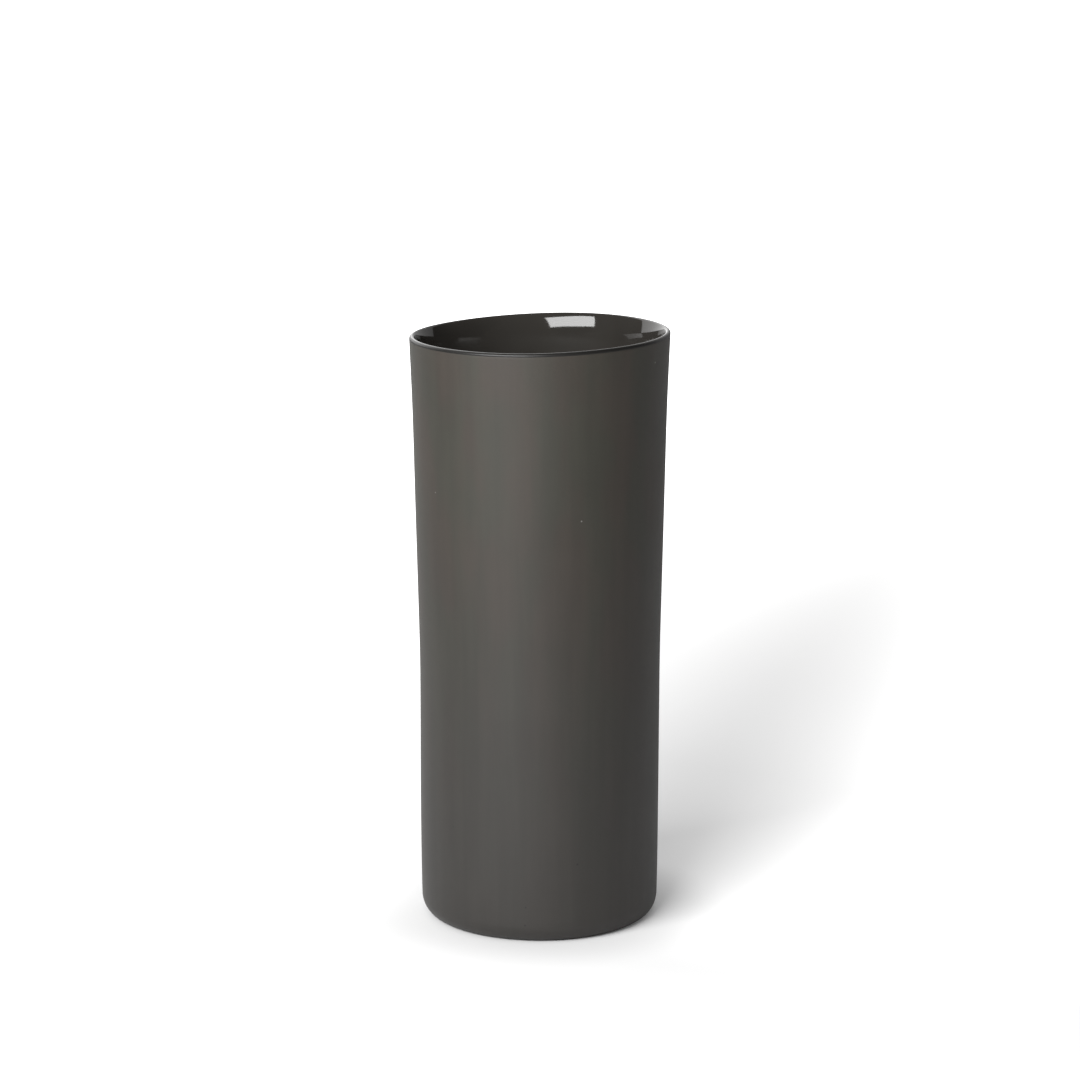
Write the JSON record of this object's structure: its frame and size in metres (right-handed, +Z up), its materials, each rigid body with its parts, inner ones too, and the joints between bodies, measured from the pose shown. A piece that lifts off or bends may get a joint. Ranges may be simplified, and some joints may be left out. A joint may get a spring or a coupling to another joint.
{
  "type": "cylinder vase",
  "caption": "Tall straight-sided porcelain cylinder vase with a slightly flared thin lip, matt outside and gloss glazed inside, for cut stems in water.",
  "frame": {"origin": "centre of the foot, on the surface the vase stands on", "axes": "+Z up the vase from the foot to the mouth, along its longest side; +X towards the side of the rim that stands 1.5 mm high; -Y towards the side seen from the front"},
  "size_m": [0.1306, 0.1306, 0.3015],
  "materials": {
    "matt_porcelain": "matte",
    "gloss_glaze": "gloss"
  },
  "bodies": {
    "root": {"porcelain_body": "matt_porcelain", "inner_glaze": "gloss_glaze"}
  },
  "joints": []
}
